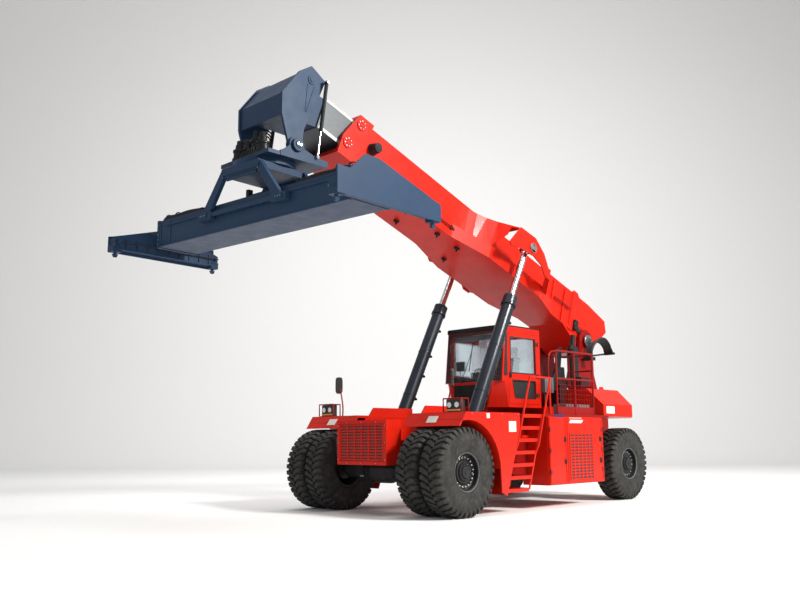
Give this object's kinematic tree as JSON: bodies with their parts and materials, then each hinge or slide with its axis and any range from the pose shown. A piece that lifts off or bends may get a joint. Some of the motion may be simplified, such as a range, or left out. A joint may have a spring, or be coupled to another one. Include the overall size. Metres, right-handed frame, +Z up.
{
  "type": "reach stacker",
  "caption": "Orange container reach stacker with a telescopic boom, slate blue spreader, hollow cab, twin front wheels and steered rear wheels.",
  "frame": {"origin": "middle of the bounding box, on the ground plane the tyres stand on", "axes": "+X forward along the machine, towards the spreader; +Y to the machine's left; +Z up"},
  "size_m": [12.0956, 6.214, 8.13],
  "materials": {
    "orange_paint": "gloss",
    "red_paint": "gloss",
    "grey_parts": "satin",
    "black_parts": "satin",
    "cab_glass": "tinted",
    "grey_boom": "satin",
    "slate_paint": "satin",
    "chrome_rod": "polished",
    "tyre_rubber": "matte"
  },
  "bodies": {
    "machine": {"chassis_frame": "orange_paint", "boom_tower": "red_paint", "cab_shell": "orange_paint", "counterweight": "orange_paint", "engine_block": "grey_parts", "engine_cover": "orange_paint", "front_axle": "black_parts", "front_fender_left": "orange_paint", "front_fender_right": "orange_paint", "front_grille_box": "orange_paint", "ladder": "orange_paint", "lamp_and_mirror_left": "black_parts", "lamp_and_mirror_right": "black_parts", "operator_seat": "black_parts", "platform_left": "red_paint", "platform_right": "orange_paint", "rear_axle": "black_parts", "rear_window": "cab_glass", "side_box_left": "orange_paint", "side_box_right": "orange_paint", "steering_column": "black_parts", "windscreen": "cab_glass"},
    "outer_boom": {"outer_boom": "orange_paint"},
    "inner_boom": {"inner_boom": "grey_boom", "boom_head": "slate_paint", "damper_barrel_left": "black_parts", "damper_barrel_right": "black_parts"},
    "spreader_yoke": {"spreader_yoke": "slate_paint"},
    "slewing_carriage": {"slewing_carriage": "slate_paint"},
    "spreader_beam": {"spreader_beam": "slate_paint"},
    "battery_door": {"battery_door": "orange_paint"},
    "louvre_door": {"louvre_door": "orange_paint"},
    "extension_left": {"extension_left": "slate_paint"},
    "lift_barrel_left": {"lift_barrel_left": "slate_paint"},
    "lift_rod_left": {"lift_rod_left": "chrome_rod"},
    "damper_rod_left": {"damper_rod_left": "chrome_rod"},
    "front_wheels_left": {"front_rim_left": "black_parts", "front_tyre_inner_left": "tyre_rubber", "front_tyre_outer_left": "tyre_rubber"},
    "knuckle_left": {"knuckle_left": "black_parts"},
    "rear_wheel_left": {"rear_rim_left": "black_parts", "rear_tyre_left": "tyre_rubber"},
    "cab_door_left": {"cab_door_left": "orange_paint", "cab_door_glass_left": "cab_glass"},
    "extension_right": {"extension_right": "slate_paint"},
    "lift_barrel_right": {"lift_barrel_right": "slate_paint"},
    "lift_rod_right": {"lift_rod_right": "chrome_rod"},
    "damper_rod_right": {"damper_rod_right": "chrome_rod"},
    "front_wheels_right": {"front_rim_right": "black_parts", "front_tyre_inner_right": "tyre_rubber", "front_tyre_outer_right": "tyre_rubber"},
    "knuckle_right": {"knuckle_right": "black_parts"},
    "rear_wheel_right": {"rear_rim_right": "black_parts", "rear_tyre_right": "tyre_rubber"},
    "cab_door_right": {"cab_door_right": "orange_paint", "cab_door_glass_right": "cab_glass"}
  },
  "joints": [
    {"name": "boom_lift", "type": "hinge", "parent": "machine", "child": "outer_boom", "pos_m": [-4.89034, 0, 3.75], "axis": [0, 1, 0], "range_deg": [-40.5, 18.5]},
    {"name": "boom_extend", "type": "slide", "parent": "outer_boom", "child": "inner_boom", "axis": [0.9426, 0, 0.3338], "range_m": [0, 6.5]},
    {"name": "spreader_hang", "type": "hinge", "parent": "inner_boom", "child": "spreader_yoke", "pos_m": [4.47966, 0, 6.52], "axis": [0, 1, 0], "range_deg": [-19, 41]},
    {"name": "spreader_slew", "type": "hinge", "parent": "spreader_yoke", "child": "slewing_carriage", "pos_m": [4.64966, 0, 6.16], "axis": [0, 0, 1], "range_deg": [-195, 105]},
    {"name": "side_shift", "type": "slide", "parent": "slewing_carriage", "child": "spreader_beam", "axis": [-0.0593, 0.9982, 0], "range_m": [-0.8, 0.8]},
    {"name": "extension_left", "type": "slide", "parent": "spreader_beam", "child": "extension_left", "axis": [-0.0593, 0.9982, 0], "range_m": [0, 3.067]},
    {"name": "extension_right", "type": "slide", "parent": "spreader_beam", "child": "extension_right", "axis": [0.0593, -0.9982, 0], "range_m": [0, 3.067]},
    {"name": "lift_barrel_left", "type": "hinge", "parent": "machine", "child": "lift_barrel_left", "pos_m": [0.54966, 1, 1], "axis": [0, 1, 0], "range_deg": [-5.6, 2.7]},
    {"name": "lift_rod_left", "type": "slide", "parent": "lift_barrel_left", "child": "lift_rod_left", "axis": [-0.4701, 0, 0.8826], "range_m": [-1.12, 2.41]},
    {"name": "damper_rod_left", "type": "slide", "parent": "inner_boom", "child": "damper_rod_left", "axis": [0.1414, 0, -0.9899], "range_m": [-0.31, 0.15]},
    {"name": "lift_barrel_right", "type": "hinge", "parent": "machine", "child": "lift_barrel_right", "pos_m": [0.54966, -1, 1], "axis": [0, 1, 0], "range_deg": [-5.6, 2.7]},
    {"name": "lift_rod_right", "type": "slide", "parent": "lift_barrel_right", "child": "lift_rod_right", "axis": [-0.4701, 0, 0.8826], "range_m": [-1.12, 2.41]},
    {"name": "damper_rod_right", "type": "slide", "parent": "inner_boom", "child": "damper_rod_right", "axis": [0.1414, 0, -0.9899], "range_m": [-0.31, 0.15]},
    {"name": "front_wheels_left", "type": "hinge", "parent": "machine", "child": "front_wheels_left", "pos_m": [1.60966, 1.55, 0.8061], "axis": [0, 1, 0], "continuous": true},
    {"name": "steer_left", "type": "hinge", "parent": "machine", "child": "knuckle_left", "pos_m": [-4.39034, 1.24, 0.8061], "axis": [0, 0, 1], "range_deg": [-50, 50]},
    {"name": "rear_wheel_left", "type": "hinge", "parent": "knuckle_left", "child": "rear_wheel_left", "pos_m": [-4.39034, 1.7, 0.8061], "axis": [0, 1, 0], "continuous": true},
    {"name": "cab_door_left", "type": "hinge", "parent": "machine", "child": "cab_door_left", "pos_m": [-2.49945, 0.8, 2.91], "axis": [0, 0, 1], "range_deg": [0, 75]},
    {"name": "front_wheels_right", "type": "hinge", "parent": "machine", "child": "front_wheels_right", "pos_m": [1.60966, -1.55, 0.8061], "axis": [0, 1, 0], "continuous": true},
    {"name": "steer_right", "type": "hinge", "parent": "machine", "child": "knuckle_right", "pos_m": [-4.39034, -1.24, 0.8061], "axis": [0, 0, 1], "range_deg": [-50, 50]},
    {"name": "rear_wheel_right", "type": "hinge", "parent": "knuckle_right", "child": "rear_wheel_right", "pos_m": [-4.39034, -1.7, 0.8061], "axis": [0, 1, 0], "continuous": true},
    {"name": "cab_door_right", "type": "hinge", "parent": "machine", "child": "cab_door_right", "pos_m": [-2.49945, -0.8, 2.91], "axis": [0, 0, -1], "range_deg": [0, 75]},
    {"name": "battery_door", "type": "hinge", "parent": "machine", "child": "battery_door", "pos_m": [-0.95234, 2.0503, 1.17], "axis": [0, 0, -1], "range_deg": [0, 85]},
    {"name": "louvre_door", "type": "hinge", "parent": "machine", "child": "louvre_door", "pos_m": [-2.99835, 2.0503, 1.17], "axis": [0, 0, 1], "range_deg": [0, 85]}
  ],
  "couplings": [
    {"joint": "spreader_hang", "follows": "boom_lift", "ratio": -1},
    {"joint": "extension_right", "follows": "extension_left", "ratio": 1},
    {"joint": "steer_right", "follows": "steer_left", "ratio": 1},
    {"joint": "lift_barrel_left", "follows": "boom_lift", "ratio": 0.1312},
    {"joint": "lift_rod_left", "follows": "boom_lift", "m_per_rad": -3.3588},
    {"joint": "damper_rod_left", "follows": "boom_lift", "m_per_rad": 0.4223},
    {"joint": "lift_barrel_right", "follows": "boom_lift", "ratio": 0.1312},
    {"joint": "lift_rod_right", "follows": "boom_lift", "m_per_rad": -3.3588},
    {"joint": "damper_rod_right", "follows": "boom_lift", "m_per_rad": 0.4223}
  ]
}
